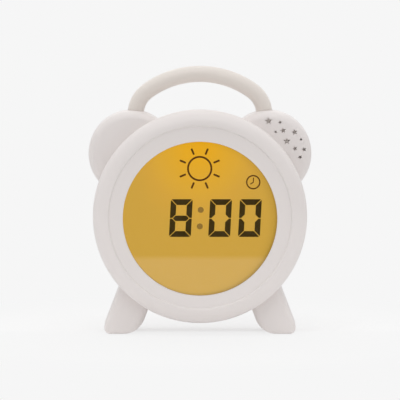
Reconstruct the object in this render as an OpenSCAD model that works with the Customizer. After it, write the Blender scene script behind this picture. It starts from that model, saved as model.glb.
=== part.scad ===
// Kids' alarm clock with night light: two moulded shells that clamp an arched handle,
// a round backlit LCD, and a back with six keys, a slide switch and a battery bay.
// Millimetres. The origin is on the table, under the middle of the clock: +Z up, front towards -Y.

/* [Body] */
// Diameter of the round body over its beaded rim
body_d = 136; // [133:1:140]
// Depth from the rim's crest to the tops of the keys on the back
depth = 62; // [60:1:68]
// Gap between the round body and the table
belly_gap = 8; // [6:0.2:9]
// Wall thickness of both shells
wall = 2.2; // [1.8:0.1:2.5]
// How far in front of mid-depth the two shells meet
parting = 2; // [1:0.5:3]
// Gap along the line where the shells meet
seam = 0.1; // [0.05:0.05:0.2]
// Radius of the bead round the front rim
bead_r = 9; // [8.5:0.25:9.5]
// Rounding of the rim's crest, on its inner side
crest_r = 1.2; // [0.9:0.1:1.3]
// How far inside the crest the dish begins
crease_in = 1.4; // [1.3:0.1:1.8]
// How far the dish's outer edge lies below the crest
crease_drop = 1.1; // [0.9:0.1:1.3]
// Wall thickness inside the bead
rim_wall = 2.8; // [2.5:0.1:3]
// Depth of the dish, from the crest back to the window's edge
dish_drop = 2.3; // [2:0.1:2.6]
// Radius of the dish's gentle hollow
dish_r = 100; // [80:10:140]
// Thickness of the front wall behind the dish
face_wall = 2.5; // [2:0.1:3]
// Lean of the round side, which narrows from the rim to the back
side_lean = 4; // [3:0.5:4.5]
// Rounding of the outer edge of the back
shoulder_r = 13.5; // [12:0.5:14]

/* [Ears] */
// Diameter of each ear
ear_d = 55; // [54:0.2:56]
// Thickness of each ear at its middle
ear_t = 26; // [25:0.5:28]
// Distance of each ear's middle from the centre line
ear_x = 43.4; // [42.6:0.2:44.6]
// Height of the ears' middles above the body's middle
ear_rise = 38.8; // [38:0.2:40.4]
// Rounding of the ears' edges
ear_edge_r = 6; // [5:0.5:7]
// Radius of the gentle dome of the ears' faces
ear_dome_r = 120; // [90:5:160]

/* [Handle] */
// Thickness of the handle's round bar
handle_d = 10.4; // [10:0.2:11.4]
// Half the distance between the middles of the handle's legs
handle_half = 40.9; // [40:0.1:42]
// Height of the handle's top, over the bar, above the body's middle
handle_top = 94.5; // [93:0.5:97]
// Angle through which the bar turns at each of the handle's shoulders
arch_bend = 54; // [50:1:58]
// Radius of the tighter bends at the handle's shoulders
arch_side_r = 18; // [16:0.5:20]
// How far the handle's legs reach down inside the ears
leg_reach = 4.6; // [4.1:0.1:5.1]
// Diameter of the collar that the shells hold
collar_d = 14.4; // [13.8:0.2:15]
// Thickness of that collar
collar_t = 2.4; // [2:0.1:2.6]

/* [Feet] */
// Distance of each foot's axis from the centre line, at the table
foot_x = 51; // [50:0.1:52]
// Width of a foot across its axis
foot_w = 22.2; // [21:0.2:24]
// Depth of a foot from front to back
foot_depth = 37; // [34:1:40]
// How far the front of the feet lies in front of mid-depth
foot_front = 17; // [16:0.5:18]
// Lean of the feet away from upright
foot_lean = 21; // [19:0.1:22]
// Rounding of a sole's outer corner
sole_outer_r = 3.9; // [3.5:0.1:5]
// Rounding of a sole's inner corner
sole_inner_r = 14.5; // [12:0.5:16]
// Rounding of a foot's upright edges
foot_edge_r = 5; // [4:0.5:6]
// Rounding of the front and back edges of the soles
sole_edge_r = 2; // [1.5:0.25:3]
// Diameter of the rubber pads under the feet
pad_d = 8; // [7:0.2:8]
// How far the pads stand out of the soles
pad_proud = 0.4; // [0.3:0.1:0.8]
// How deep the pads sit in the soles
pad_seat = 0.9; // [0.6:0.1:1.1]
// Distance between the front and the back pad of a foot
pad_pitch = 18; // [16:1:22]

/* [Window and display] */
// Width of the front between the body's side and the window
ring_w = 19; // [18.5:0.25:20]
// How far the window's middle lies below the body's middle
window_drop = 0.9; // [0:0.1:1.2]
// Thickness of the lens inside the window
lens_t = 3.4; // [3:0.1:3.8]
// Depth of the lens face behind the window's edge
lens_sunk = 0.4; // [0.2:0.1:0.8]
// How far the flange reaches past the window
lens_flange = 4.5; // [4:0.1:5]
// Thickness of the foam gasket behind the flange
gasket_t = 0.6; // [0.4:0.1:1]
// Thickness of each of the two sheets of LCD glass
glass_t = 1.1; // [0.7:0.1:1.3]
// How much wider the LCD is across its flats than the window
lcd_margin = 3; // [2:0.5:4]
// Height of the contact ledge under the LCD
lcd_ledge = 4.5; // [4:0.25:5]
// Thickness of the light guide
guide_t = 3; // [2:0.25:4]
// Thickness of the white reflector sheet
reflector_t = 0.4; // [0.3:0.1:0.6]
// Wall of the display carrier
carrier_wall = 1.8; // [1.4:0.1:2]
// Distance of the carrier's four screws in from the body's side
lug_inset = 9.5; // [9:0.25:10]
// Number of backlight LEDs along the top edge of the light guide
led_count = 3; // [2:1:5]
// Distance between the LEDs
led_pitch = 8; // [6:0.5:8.5]

/* [Circuit boards] */
// Thickness of both circuit boards
board_t = 1.6; // [1:0.2:2]
// Height of the standoffs under the main board
standoff_h = 2; // [1.5:0.25:3]
// Half width of the main board
main_half_w = 36; // [34:1:38]
// Height of the main board's top edge above the window's middle
main_top = 30; // [28:1:34]
// Distance of the key board's ends in from the body's side
keyboard_inset = 23; // [22.5:0.5:24]
// Height of the key board
keyboard_h = 27; // [26:0.5:28]
// Distance from the back wall to the key board
keyboard_gap = 8.6; // [8.4:0.1:9]

/* [Keys and switch] */
// How far the keys stand out of the back
button_proud = 1.2; // [1:0.1:1.4]
// Travel of the keys
button_travel = 1; // [0.8:0.1:1.1]
// Gap between neighbouring keys of the lower row
key_gap = 5; // [4:0.5:6]
// Height of a key
button_h = 6.5; // [5:0.25:7]
// Height of the lower row of keys above the body's middle
lower_row = 24; // [23:0.5:25]
// Height of the upper row of keys above the body's middle
upper_row = 36.5; // [36:0.5:38]
// Distance of the two upper keys from the centre line
upper_key_x = 20; // [18:0.5:24]
// Height of a tact switch's body
tact_h = 3.5; // [3:0.1:3.8]
// Travel of the slide switch's knob
switch_travel = 4; // [3:0.5:5]
// Width of the slide switch's knob
knob_w = 4.4; // [4:0.2:5]
// Distance of the USB inlet in from the key board's end
usb_inset = 5; // [4.5:0.5:6]

/* [Battery bay] */
// Diameter of an AA cell
cell_d = 14.2; // [13.7:0.1:14.4]
// Length of an AA cell with its button
cell_l = 50.5; // [49.5:0.1:50.5]
// Distance between the cells' axes
cell_pitch = 15.2; // [15:0.1:15.4]
// Length of the springs at the cells' flat ends
spring_l = 6; // [5:0.25:7]
// Thickness of the contact plates
plate_t = 0.5; // [0.3:0.1:0.6]
// How far the bay's middle cell lies below the body's middle
bay_drop = 13; // [12:0.5:14]
// Thickness of the battery door
door_t = 2; // [1.8:0.1:2.2]
// Gap round the battery door
door_gap = 0.3; // [0.25:0.05:0.5]
// Width of the ledge that the door rests on at the sides
door_ledge = 2.5; // [2:0.25:3]
// Height of the ledge above the bay
ledge_top = 4; // [3.5:0.25:4.5]
// Height of the ledge under the bay, which holds the door's screw
ledge_bottom = 7; // [6.5:0.25:7.5]
// Width of the door's two hook tabs
tab_w = 8; // [6:0.5:10]
// How far the hook tabs reach up past the door
tab_reach = 3.4; // [2.5:0.1:4]

/* [Speaker] */
// Length of the oblong speaker
speaker_l = 25; // [23.5:0.5:26]
// Width of the speaker
speaker_w = 14; // [12:0.5:15]
// Depth of the speaker's frame
speaker_t = 4.5; // [4:0.25:5]
// Distance of the speaker's middle from the ear's middle, away from the body
speaker_out = 15.3; // [14.8:0.1:15.6]
// How far the speaker lies down along the ear's edge
speaker_down = 2.5; // [2.25:0.25:3.5]
// Radius of the round magnet on the speaker's back
magnet_r = 5.5; // [4:0.25:6]

/* [Fastenings and fits] */
// Diameter of the screws' threads
screw_d = 2.6; // [2.2:0.1:3]
// Diameter of the screws' heads
head_d = 5.2; // [4.6:0.1:5.4]
// Height of the screws' heads
head_h = 1.8; // [1.4:0.1:2]
// Wall round a screw's hole
boss_wall = 1.9; // [1.6:0.1:2.1]
// Distance of the case screws in from the body's side
case_inset = 7.5; // [7:0.25:8]
// How deep the case screws' wells reach from mid-depth
well_floor = 8; // [7:0.5:9]
// Clearance of pieces that plug or slide into each other
fit = 0.2; // [0.15:0.05:0.3]
// Clearance of pieces that lie on each other
rest = 0.1; // [0.05:0.05:0.15]

/* [Hidden] */
$fn = 72;
chord_error = 0.015;
shell_colour = [0.88, 0.86, 0.84];
handle_colour = [0.83, 0.79, 0.75];
board_colour = [0.10, 0.36, 0.20];
steel_colour = [0.72, 0.72, 0.70];

// Everything is drawn lying on its back: X across, Y up the clock, Z towards its front.
body_r = body_d / 2;
body_y = body_r + belly_gap;
crest_z = depth / 2;
back_z = button_proud - crest_z;
shoulder_z = back_z + shoulder_r;
back_in_z = back_z + wall;
window_r = body_r - ring_w;
window_y = body_y - window_drop;

// Bead, crest and dish of the rim
bead_x = body_r - bead_r;
bead_z = crest_z - bead_r;
crest_cz = crest_z - crest_r;
dish_z = crest_z - dish_drop;
face_in_z = dish_z - face_wall;
crease = [bead_x - crease_in, crest_z - crease_drop];
crease_off = crease - [bead_x, crest_cz];
crest_end = atan2(crease_off[1], crease_off[0]) - acos(crest_r / norm(crease_off));
crest_stop = crest_end < 0 ? crest_end + 360 : crest_end;
dish_half = (crease - [window_r, dish_z]) / 2;
dish_mid = [window_r, dish_z] + dish_half
    + [-dish_half[1], dish_half[0]] * sqrt(dish_r * dish_r / (dish_half * dish_half) - 1);
dish_from = atan2(crease[1] - dish_mid[1], crease[0] - dish_mid[0]);
dish_to = atan2(dish_z - dish_mid[1], window_r - dish_mid[0]);
rim_core_r = bead_r - rim_wall;

// The round side leans in by a fixed angle between the bead and the shoulder
wall_across = wall / cos(side_lean);
function side_r(z) = bead_x + bead_r / cos(side_lean) - (bead_z - z) * tan(side_lean);
shoulder_x = side_r(shoulder_z) - shoulder_r / cos(side_lean);
parting_r = side_r(parting);

// Ears: half of one lies on each side of the parting plane
ear_r = ear_d / 2;
ear_y = body_y + ear_rise;
ear_front = parting + ear_t / 2;
ear_back = parting - ear_t / 2;
ear_out = [ear_x, ear_rise] / norm([ear_x, ear_rise]);

// Feet
sole_y = pad_proud;
foot_top = body_y - body_r / 2;
foot_mid_z = foot_front - foot_depth / 2;
foot_out = [cos(foot_lean), sin(foot_lean)];
bar_ease = 0.2;

// Handle
handle_r = handle_d / 2;
arch_drop = (handle_half - arch_side_r) * tan(arch_bend);
arch_top_r = arch_side_r + (handle_half - arch_side_r) / cos(arch_bend);
spring_y = body_y + handle_top - handle_r - arch_top_r + arch_drop;
handle_end_y = spring_y - leg_reach;

// Screws
screw_r = screw_d / 2;
thread_hole_r = screw_r + 0.05;
pass_hole_r = screw_r + fit;
head_r = head_d / 2;
boss_r = thread_hole_r + boss_wall;
well_r = head_r + 0.45;
well_boss_r = well_r + 1.5;
case_pitch_r = body_r - case_inset;
lug_pitch_r = body_r - lug_inset;
case_angles = [18, 63, 117, 162, 240, 300];
post_end_z = crest_z - rim_wall + seam;
case_screw_l = 20;
lug_screw_l = 7;
post_screw_l = 5;
screw_hole_end = 0.4;
cross_l = 1.1 * head_r;
cross_w = 0.3 * head_r;

// Display stack, from the front backwards
lens_front_z = dish_z - lens_sunk;
lens_back_z = lens_front_z - lens_t;
flange_front_z = face_in_z - rest;
flange_back_z = lens_back_z;
flange_r = window_r + lens_flange;
gasket_front_z = lens_back_z - rest;
lcd_front_z = gasket_front_z - gasket_t - rest;
lcd_back_z = lcd_front_z - 2 * glass_t;
guide_front_z = lcd_back_z - rest;
guide_back_z = guide_front_z - guide_t;
reflector_front_z = guide_back_z - rest;
carrier_front_z = lcd_front_z;
carrier_floor_z = reflector_front_z - reflector_t - rest;
carrier_back_z = carrier_floor_z - carrier_wall;
main_front_z = carrier_back_z - standoff_h;
main_back_z = main_front_z - board_t;
lcd_flat = window_r + lcd_margin / 2;
lcd_side = lcd_flat * tan(22.5);
carrier_flat = lcd_flat + fit + carrier_wall;
pocket_y = lcd_flat + lcd_ledge + fit;
gasket_w = 2.1;
lug_t = 2;
lug_arm_w = 1.6 * boss_r;
lug_front_z = carrier_floor_z + lug_t;
zebra_h = 2.2;
zebra_y = -lcd_flat - lcd_ledge / 2;
main_tongue = 22;
main_taper = 12;
main_bottom = pocket_y + 1;
main_screw_in = 6;
main_screws = [for (x = [-1, 1], y = [1, -1])
    [x * (main_half_w - main_screw_in), y * (main_top - main_screw_in)]];

// Key board and what it carries: four keys and the USB inlet are spaced evenly along its lower row
keyboard_back_z = back_in_z + keyboard_gap;
keyboard_front_z = keyboard_back_z + board_t;
keyboard_w = 2 * (body_r - keyboard_inset);
usb_x = keyboard_w / 2 - usb_inset;
row_pitch = usb_x / 2.5;
button_w = row_pitch - key_gap;
keyboard_y = body_y + (lower_row + upper_row) / 2;
key_flange_t = 1.2;
key_flange = 1.3;
key_rest_z = back_in_z + fit;
tact_w = 6;
tact_top_z = keyboard_back_z - tact_h;
plunger_r = 1.7;
plunger_out = 1.8;
plunger_in = 0.6;
plunger_tip_z = tact_top_z - plunger_out;
stem_r = 2.4;
knob_h = 3.4;
knob_neck = 2;
usb_tip_z = back_in_z + 0.3;
usb_shell_t = 0.35;
usb_floor = 1.4;
key_names = ["time", "alarm", "down", "up", "light", "melody"];
key_xs = [for (i = [0:3]) (i - 1.5) * row_pitch, -upper_key_x, upper_key_x];
key_ys = [lower_row, lower_row, lower_row, lower_row, upper_row, upper_row];
board_screws = [[-keyboard_w / 2 + 4, 10], [keyboard_w / 2 - 4, 10], [-10.5, 10.5], [10.5, 10.5]];
switch_can = [10, 4.2];
can_wall = 0.8;
usb_size = [9, 3.2];
usb_cut = [11.4, 5.6];
usb_y = body_y + lower_row;

// Battery bay and door
bay_y = body_y - bay_drop;
bay_half_w = cell_l / 2 + spring_l / 2 + plate_t + 2 * rest;
cell_count = 3;
plate_w = 11;
bay_half_h = (cell_count * cell_pitch + 0.6) / 2;
door_top_y = bay_y + bay_half_h + ledge_top - door_gap;
door_bottom_y = bay_y - bay_half_h - ledge_bottom + door_gap;
door_half_w = bay_half_w + door_ledge;
door_in_z = back_z + door_t;
ledge_z = door_in_z + rest;
hinge_r = door_t / 2;
hinge_y = door_top_y - hinge_r;
hinge_z = back_z + hinge_r;
bay_wall = 1.8;
rib_t = 1.6;
cell_gap = 0.3;
cell_rib = 0.8;
bay_floor_z = door_in_z + cell_rib + cell_d + 2 * cell_gap;
bay_back_z = bay_floor_z + bay_wall;
cell_z = bay_floor_z - cell_gap - cell_d / 2;
cell_ys = [for (i = [0:cell_count - 1]) bay_y + ((cell_count - 1) / 2 - i) * cell_pitch];
plate_x = bay_half_w - rest - plate_t;
door_screw_y = door_bottom_y + 3.4;
door_screw_r = 1.2;
door_boss_r = 3.3;
door_boss_l = 5;
door_screw_l = 3;
door_head_z = back_z + 0.1;
door_head_h = 1;
tab_x = bay_half_w / 2;
tab_t = 1.5;
tab_z = ledge_z + 0.25;
tab_root = 2.4;
grip_w = 16;
grip_up = 7;
grip_pitch = 1.6;
tab_back = tab_z + tab_t - hinge_z;
swing_up = norm([hinge_r + tab_reach, tab_back]) + 2 * fit;
swing_down = norm([tab_root, tab_back]) + 2 * fit;
door_bore_r = door_screw_r + 0.35;
tail_w = 4;
function tail_y(side) = side > 0 ? cell_ys[0] : cell_ys[cell_count - 1];

// Speaker, along the edge of the ear on the right
speaker_turn = atan2(ear_out[1], ear_out[0]) - 90;
speaker_c = [ear_x, ear_y] + speaker_out * ear_out
    + speaker_down * [ear_out[1], -ear_out[0]];
speaker_front_z = parting + 4;
speaker_back_z = speaker_front_z - speaker_t;
speaker_wall = 1.2;
frame_wall = 1.2;
rim_in = 2 * frame_wall + 2 * fit;
cone_in = 6.6;
coil_r = 3.2;
magnet_t = 3;

// Star-shaped sound holes: place from the ear's middle, tip radius, turn
stars = [
    [0.1, 21.2, 2.5, 4], [7.5, 20.4, 1.25, 20], [16.7, 14.1, 1.95, 12], [9.4, 15.2, 1.9, 8],
    [4.7, 14.4, 1.05, 30], [11.8, 8.5, 2.4, 0], [20.8, 9.5, 1.05, 40], [17, 3.7, 1.65, 24],
    [22.7, 3.1, 1.55, 10], [20.2, -1.8, 1.5, 34]
];
star_waist = 0.48;
cloth_t = 0.4;

// Lifts what is drawn on its back so that it stands on the table.
module stand() rotate([90, 0, 0]) children();

// Points of an arc from one angle to another, close enough to stay within a hair of it.
function arc(c, r, a, b) = let (n = max(2, ceil(abs(b - a) / (2 * acos(1 - chord_error / r)))))
    [for (i = [0:n]) c + r * [cos(a + (b - a) * i / n), sin(a + (b - a) * i / n)]];

// The same points without the first, where one arc runs on from another.
function after(points) = [for (i = [1:len(points) - 1]) points[i]];

// A rectangle with rounded corners, centred.
module rounded(w, h, r) {
    x = w / 2 - r;
    y = h / 2 - r;
    polygon(concat(arc([x, y], r, 0, 90), arc([-x, y], r, 90, 180),
        arc([-x, -y], r, 180, 270), arc([x, -y], r, 270, 360)));
}

// A rectangle with half-round ends, centred.
module racetrack(l, w) {
    square([l - w, w], center = true);
    for (side = [-1, 1]) translate([side * (l - w) / 2, 0]) circle(w / 2);
}

// A slab of the children between two planes.
module slab(from, to) translate([0, 0, from]) linear_extrude(to - from) children();

// A round hole or bar between two planes.
module bar(r, from, to) translate([0, 0, from]) cylinder(r = r, h = to - from);

// ---------------------------------------------------------------- shells

// Half section of the round body in front of the parting plane, radius against depth.
module front_section() polygon(concat(
    [[0, parting], [parting_r, parting]],
    arc([bead_x, bead_z], bead_r, -side_lean, 90),
    after(arc([bead_x, crest_cz], crest_r, 90, crest_stop)),
    arc(dish_mid, dish_r, dish_from, dish_to),
    [[0, dish_z]]
));

// The same for the hollow inside it.
module front_hollow_section() {
    polygon([[0, parting - 1], [side_r(parting - 1) - wall_across, parting - 1],
        [side_r(bead_z) - wall_across, bead_z], [0, bead_z]]);
    square([bead_x, face_in_z]);
    translate([bead_x, bead_z]) circle(rim_core_r);
}

// Half section of the round body behind the parting plane.
module rear_section() polygon(concat(
    [[0, back_z]],
    arc([shoulder_x, shoulder_z], shoulder_r, -90, -side_lean),
    [[side_r(parting - seam), parting - seam], [0, parting - seam]]
));

module rear_hollow_section() polygon(concat(
    [[0, back_in_z]],
    arc([shoulder_x, shoulder_z], shoulder_r - wall, -90, -side_lean),
    [[side_r(parting + 1) - wall_across, parting + 1], [0, parting + 1]]
));

// Half section of half an ear, drawn in by a wall: a gentle dome that turns into a round edge.
module ear_section(in, below) {
    r = ear_r - in;
    e = ear_edge_r - in;
    dome = ear_dome_r - in;
    dome_z = ear_t / 2 - ear_dome_r;
    edge_x = r - e;
    turn = asin(edge_x / (dome - e));
    edge_z = dome_z + (dome - e) * cos(turn);
    polygon(concat(
        arc([0, dome_z], dome, 90, 90 - turn),
        after(arc([edge_x, edge_z], e, 90 - turn, 0)),
        [[r, below], [0, below]]
    ));
}

module ear_half(in, below = 0) rotate_extrude() ear_section(in, below);

module at_ears() for (side = [-1, 1]) translate([side * ear_x, ear_y, parting]) children();

// Outline of the right foot from the front, drawn in by a wall.
function sole_centre(side, r) = [
    foot_x + (side * (foot_w / 2 - r) - (sole_y + r) * foot_out[1]) / foot_out[0],
    sole_y + r
];
pad_x = (sole_centre(1, sole_outer_r)[0] + sole_centre(-1, sole_inner_r)[0]) / 2;
function foot_edge(side, in, y) =
    [foot_x + (side * (foot_w / 2 - in) - y * foot_out[1]) / foot_out[0], y];
function foot_outline(in) = concat(
    [foot_edge(1, in, foot_top), foot_edge(-1, in, foot_top)],
    arc(sole_centre(-1, sole_inner_r), sole_inner_r - in, 180 + foot_lean, 270),
    arc(sole_centre(1, sole_outer_r), sole_outer_r - in, 270, 360 + foot_lean)
);

// The right foot: its outline, with its upright edges and the front and back of its sole rounded.
module foot(in) intersection() {
    slab(foot_mid_z - foot_depth, foot_mid_z + foot_depth) polygon(foot_outline(in));
    translate([foot_x, 0, foot_mid_z]) rotate([-90, 0, foot_lean])
        slab(-foot_w, foot_top + foot_w)
            rounded(foot_w - 2 * in + bar_ease, foot_depth - 2 * in, foot_edge_r - in);
    translate([0, foot_top, foot_mid_z]) rotate([0, 90, 0]) slab(0, body_r + foot_w)
        rounded(foot_depth - 2 * in + bar_ease, 2 * (foot_top - sole_y - in) + bar_ease,
            max(sole_edge_r - in, seam));
}

module feet(in) for (side = [0, 1]) mirror([side, 0, 0]) foot(in);

// All of space in front of a plane, or behind it, as far as the clock reaches.
module before(z) translate([-body_d, -body_d, z]) cube([2 * body_d, 4 * body_d, body_d]);
module behind(z) translate([-body_d, -body_d, z - body_d]) cube([2 * body_d, 4 * body_d, body_d]);

module front_outside() {
    translate([0, body_y, 0]) rotate_extrude() front_section();
    at_ears() ear_half(0);
    intersection() { feet(0); before(parting); }
}

module front_inside() {
    translate([0, body_y, 0]) rotate_extrude() front_hollow_section();
    at_ears() ear_half(wall, -1);
    intersection() { feet(wall); before(parting - 1); }
}

module rear_outside() {
    translate([0, body_y, 0]) rotate_extrude() rear_section();
    translate([0, 0, -seam]) at_ears() mirror([0, 0, 1]) ear_half(0);
    intersection() { feet(0); behind(parting - seam); }
}

module rear_inside() {
    translate([0, body_y, 0]) rotate_extrude() rear_hollow_section();
    at_ears() mirror([0, 0, 1]) ear_half(wall, -1);
    intersection() { feet(wall); behind(parting + 1); }
}

// The shells' common outline at the parting plane, drawn in.
module outline(in) {
    translate([0, body_y]) circle(parting_r - in);
    for (side = [-1, 1]) translate([side * ear_x, ear_y]) circle(ear_r - in);
    for (side = [0, 1]) mirror([side, 0]) polygon(foot_outline(in));
}

module star(tip) polygon([for (i = [0:9]) let (r = i % 2 == 0 ? tip : tip * star_waist)
    r * [sin(36 * i), cos(36 * i)]]);

module star_holes() translate([ear_x, ear_y, 0]) for (s = stars)
    translate([s[0], s[1]]) rotate(s[3]) slab(parting + ear_t / 4, crest_z) star(s[2]);

module at_case_screws() for (a = case_angles)
    translate([case_pitch_r * cos(a), body_y + case_pitch_r * sin(a), 0]) children();

module at_lugs() for (a = [45:90:315])
    translate([lug_pitch_r * cos(a), window_y + lug_pitch_r * sin(a), 0]) children();

// Holes for the handle's legs in the ears' tops, and the ribs that stop the legs from sinking.
module handle_holes() for (side = [-1, 1])
    translate([side * handle_half, handle_end_y + collar_t, parting])
        rotate([-90, 45, 0]) cylinder(r = handle_r + fit, h = ear_r);

module handle_seats() for (side = [-1, 1])
    translate([side * handle_half - collar_d / 2, handle_end_y - rest - wall, ear_back])
        cube([collar_d, wall, parting + handle_r - ear_back]);

module pad_seats() for (side = [-1, 1], z = [-1, 1])
    translate([side * pad_x, 0, foot_mid_z + z * pad_pitch / 2]) rotate([-90, 0, 0])
        cylinder(d = pad_d + fit, h = sole_y + pad_seat + rest);

// Tongue along the front shell's edge that plugs into the rear shell.
tongue_t = wall / 2 - 0.1;
tongue_l = 1.5;
tongue_root = 0.1;
groove_in = 0.5;
module tongue(grow, inner, from, to) slab(from, to) difference() {
    outline(wall - tongue_t - grow);
    outline(inner);
}

module front_shell() color(shell_colour) stand() difference() {
    union() {
        difference() { front_outside(); front_inside(); }
        tongue(0, wall - tongue_root, parting - tongue_l, parting + 1);
        at_case_screws() bar(boss_r, parting, post_end_z);
        at_lugs() bar(boss_r, lug_front_z + rest, post_end_z);
    }
    translate([0, window_y, 0]) bar(window_r, bead_z, crest_z);
    at_case_screws() bar(thread_hole_r, parting - 1, case_screw_l - well_floor + screw_hole_end);
    at_lugs() bar(thread_hole_r, lug_front_z, carrier_floor_z + lug_screw_l + screw_hole_end);
    star_holes();
    handle_holes();
    pad_seats();
}

// What stands inside the round back: the case screws' wells, key-board posts and battery bay.
module rear_fittings() {
    at_case_screws() bar(well_boss_r, back_z, parting - seam);
    keyboard_posts();
    bay_block();
}

module keyboard_posts() for (s = board_screws)
    translate([s[0], keyboard_y + s[1], 0]) bar(boss_r, back_z + wall / 2, keyboard_back_z - rest);

module bay_block() {
    translate([0, bay_y, 0]) slab(back_z + wall / 2, bay_back_z)
        square([2 * (bay_half_w + bay_wall), 2 * (bay_half_h + bay_wall)], center = true);
    translate([-door_half_w - door_gap - 1, door_bottom_y - door_gap - 1, back_z + wall / 2])
        cube([2 * (door_half_w + door_gap + 1), door_top_y - door_bottom_y + 2 * door_gap + 2,
            ledge_z + bay_wall - back_z - wall / 2]);
    translate([0, door_screw_y, 0]) bar(door_boss_r, back_z + wall / 2, ledge_z + door_boss_l + 1);
}

// The handle's seats, and the oblong tube in the ear that carries the speaker on a ledge.
module ear_fittings() difference() {
    union() {
        handle_seats();
        at_speaker() slab(ear_back, speaker_front_z)
            racetrack(speaker_l + 2 * (fit + speaker_wall), speaker_w + 2 * (fit + speaker_wall));
    }
    at_speaker() {
        slab(speaker_back_z - rest, crest_z) racetrack(speaker_l + 2 * fit, speaker_w + 2 * fit);
        slab(ear_back + wall, crest_z) racetrack(speaker_l - 2, speaker_w - 2);
        translate([speaker_l / 4, -speaker_w, speaker_back_z - 3])
            cube([2 * wire_gap, speaker_w, body_r]);
    }
}

module battery_hollow() {
    translate([-door_half_w - door_gap, door_bottom_y - door_gap, back_z - 1])
        cube([2 * (door_half_w + door_gap), door_top_y - door_bottom_y + 2 * door_gap,
            1 + door_t + rest]);
    translate([0, bay_y, 0]) slab(back_z, bay_floor_z)
        square([2 * bay_half_w, 2 * bay_half_h], center = true);
    for (side = [-1, 1])
        translate([side * tab_x - tab_w / 2 - 2 * fit, hinge_y - swing_down, door_in_z])
            cube([tab_w + 4 * fit, swing_down + hinge_r + tab_reach + 2 * fit,
                hinge_z + swing_up - door_in_z]);
    translate([0, door_screw_y, 0]) bar(door_bore_r, back_z, ledge_z + door_boss_l);
    for (side = [-1, 1]) translate([side * (plate_x + plate_t / 2), tail_y(side), bay_floor_z - 1])
        translate([-tail_w / 2, -tail_w / 2, 0]) cube([tail_w, tail_w, bay_wall + 2]);
}

// Two ribs across the bay's floor, hollowed to fit the cells.
module cradles() for (side = [-1, 1]) difference() {
    translate([side * cell_l / 4 - rib_t / 2, bay_y - bay_half_h - 0.5, bay_floor_z - cell_d / 3])
        cube([rib_t, 2 * bay_half_h + 1, cell_d / 3 + 0.5]);
    for (y = cell_ys) translate([-cell_l / 2, y, cell_z]) rotate([0, 90, 0])
        cylinder(r = cell_d / 2 + cell_gap, h = cell_l);
}

module at_keys() for (i = [0:5]) translate([key_xs[i], body_y + key_ys[i], 0]) children();

module rear_shell() color(shell_colour) stand() difference() {
    union() {
        difference() { rear_outside(); rear_inside(); }
        intersection() {
            rear_fittings();
            translate([0, body_y, 0]) rotate_extrude() rear_section();
        }
        intersection() {
            ear_fittings();
            at_ears() {
                mirror([0, 0, 1]) ear_half(wall / 2);
                translate([0, 0, -wall]) cylinder(r = ear_r - wall - fit, h = ear_t / 2);
            }
        }
    }
    tongue(fit, wall + groove_in, parting - tongue_l - fit, parting + 1);
    at_case_screws() {
        bar(well_r, back_z - 1, -well_floor);
        bar(pass_hole_r, back_z, parting);
    }
    for (s = board_screws)
        translate([s[0], keyboard_y + s[1], 0])
            bar(thread_hole_r, keyboard_back_z - post_screw_l - screw_hole_end, keyboard_back_z);
    difference() { battery_hollow(); cradles(); }
    at_keys() slab(back_z - 1, back_in_z + 1) racetrack(button_w + 2 * fit, button_h + 2 * fit);
    translate([0, body_y + upper_row, 0]) slab(back_z - 1, back_in_z + 1)
        square([knob_w + switch_travel + 2 * fit, knob_h + 2 * fit], center = true);
    translate([usb_x, usb_y, 0]) slab(back_z - 1, back_in_z + 1)
        racetrack(usb_cut[0], usb_cut[1]);
    handle_holes();
    pad_seats();
}

// ---------------------------------------------------------------- handle, feet, case screws

// The arch is three arcs that run into each other, between two straight legs with collars.
// A short core inside the bar bridges the places where the arcs meet.
module carry_handle() color(handle_colour) stand() translate([0, 0, parting]) {
    translate([0, spring_y - arch_drop, 0]) rotate([0, 0, arch_bend])
        rotate_extrude(angle = 180 - 2 * arch_bend) translate([arch_top_r, 0]) circle(handle_r);
    for (side = [0, 1]) mirror([side, 0, 0]) {
        translate([0, spring_y - arch_drop, 0]) rotate([0, 0, arch_bend])
            translate([arch_top_r, 0, 0]) rotate([90, 0, 0])
                cylinder(r = handle_r - seam / 2, h = collar_t, center = true);
        translate([handle_half - arch_side_r, spring_y, 0])
            rotate_extrude(angle = arch_bend) translate([arch_side_r, 0]) circle(handle_r);
        translate([handle_half, handle_end_y, 0]) rotate([-90, 0, 0]) {
            cylinder(r = handle_r, h = leg_reach);
            cylinder(d = collar_d, h = collar_t);
        }
    }
}

module rubber_feet() color([0.25, 0.25, 0.26]) stand() for (side = [-1, 1], z = [-1, 1])
    translate([side * pad_x, 0, foot_mid_z + z * pad_pitch / 2]) rotate([-90, 0, 0])
        cylinder(d = pad_d, h = sole_y + pad_seat);

// A screw whose head lies behind the plane z = 0, with its thread in front of it.
module screw(length, shank_r = screw_r) {
    difference() {
        translate([0, 0, -head_h]) cylinder(r1 = 0.8 * head_r, r2 = head_r, h = head_h);
        slab(-head_h - 1, -head_h / 2) square([cross_l, cross_w], center = true);
        slab(-head_h - 1, -head_h / 2) square([cross_w, cross_l], center = true);
    }
    cylinder(r = shank_r, h = length);
}

module case_screws() color(steel_colour) stand() at_case_screws()
    translate([0, 0, -well_floor - rest]) screw(case_screw_l);

// ---------------------------------------------------------------- display

module at_window() translate([0, window_y, 0]) children();

module display_lens() color([0.95, 0.80, 0.45, 0.5]) stand() at_window() {
    bar(window_r - 0.15, lens_back_z, lens_front_z);
    bar(flange_r, flange_back_z, flange_front_z);
}

module lens_gasket() color([0.2, 0.2, 0.2]) stand() at_window()
    slab(gasket_front_z - gasket_t, gasket_front_z) difference() {
        circle(flange_r - fit);
        circle(flange_r - fit - gasket_w);
    }

// The eight-sided plan of the LCD and what lies behind it, drawn in or out.
module octagon(grow) rotate(22.5) circle(r = (lcd_flat + grow) / cos(22.5), $fn = 8);

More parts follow.
